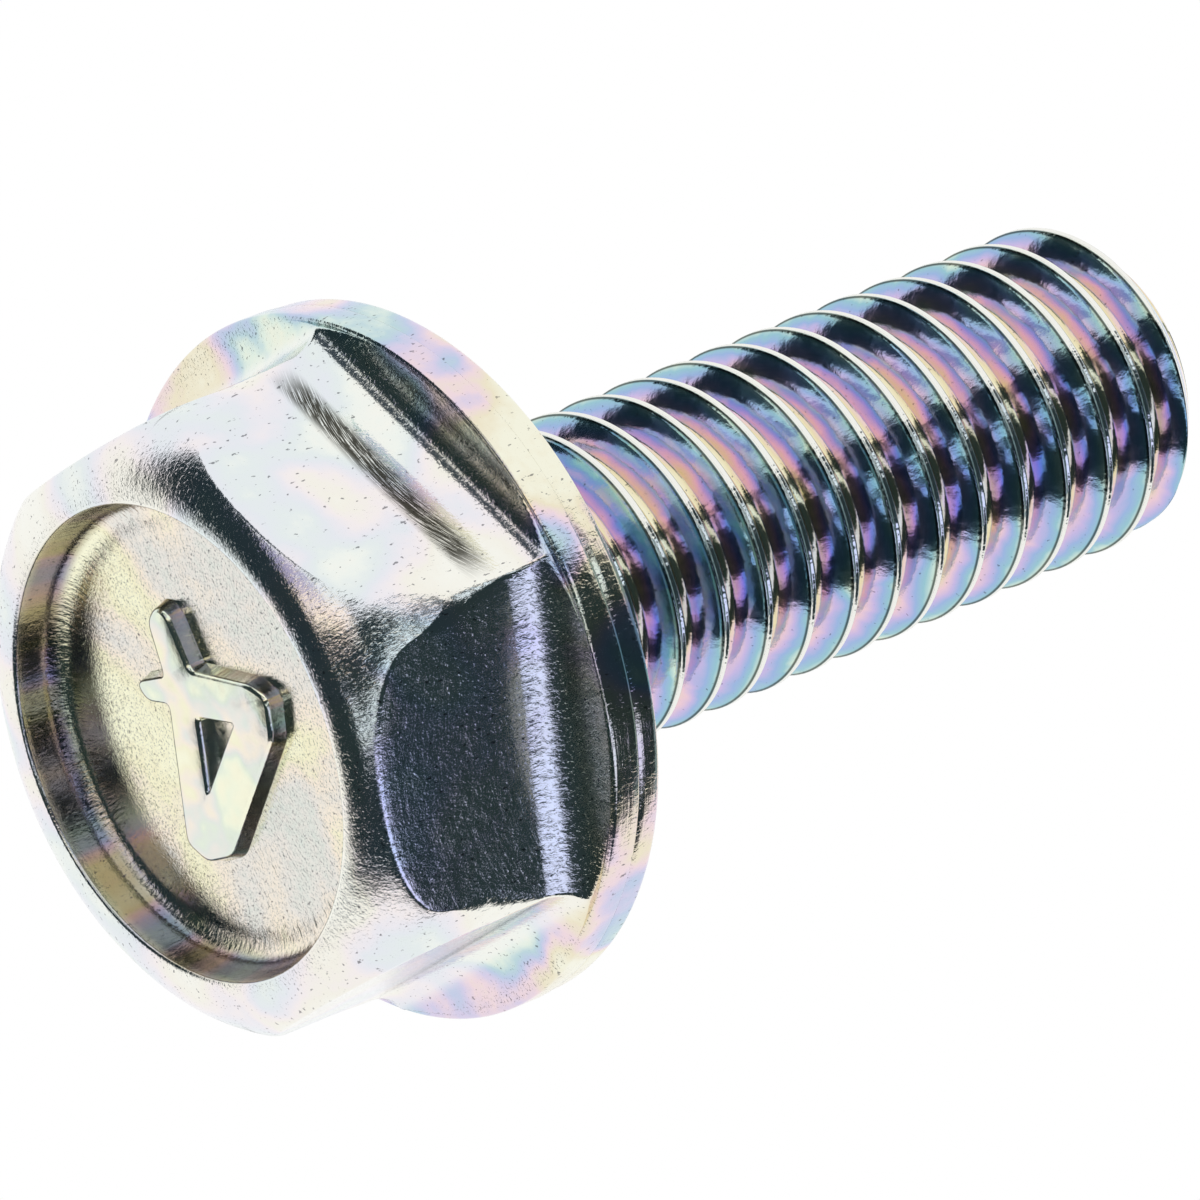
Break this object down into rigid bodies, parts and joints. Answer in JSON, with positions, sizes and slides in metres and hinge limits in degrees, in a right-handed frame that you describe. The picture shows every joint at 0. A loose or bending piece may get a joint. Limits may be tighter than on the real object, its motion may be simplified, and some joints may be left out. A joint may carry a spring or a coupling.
{
  "type": "hex flange bolt",
  "caption": "Metric bolt with a hexagon head that sweeps into a round flange, a dished head face and a fully threaded shank, for clamping parts together without a washer.",
  "frame": {"origin": "on the bolt's axis, at the plane of the rim round the dished recess in the head's face, which the bolt stands on", "axes": "+Z runs along the axis from the head to the tip of the thread, +X passes through one corner of the hexagon"},
  "size_m": [0.0125, 0.0124, 0.0213],
  "materials": {
    "zinc_plate": "carbon steel, bright zinc plated, with a thin clear chromate film that shows pale yellow, pink and blue"
  },
  "bodies": {
    "root": {"flange_bolt": "zinc_plate"}
  },
  "joints": []
}
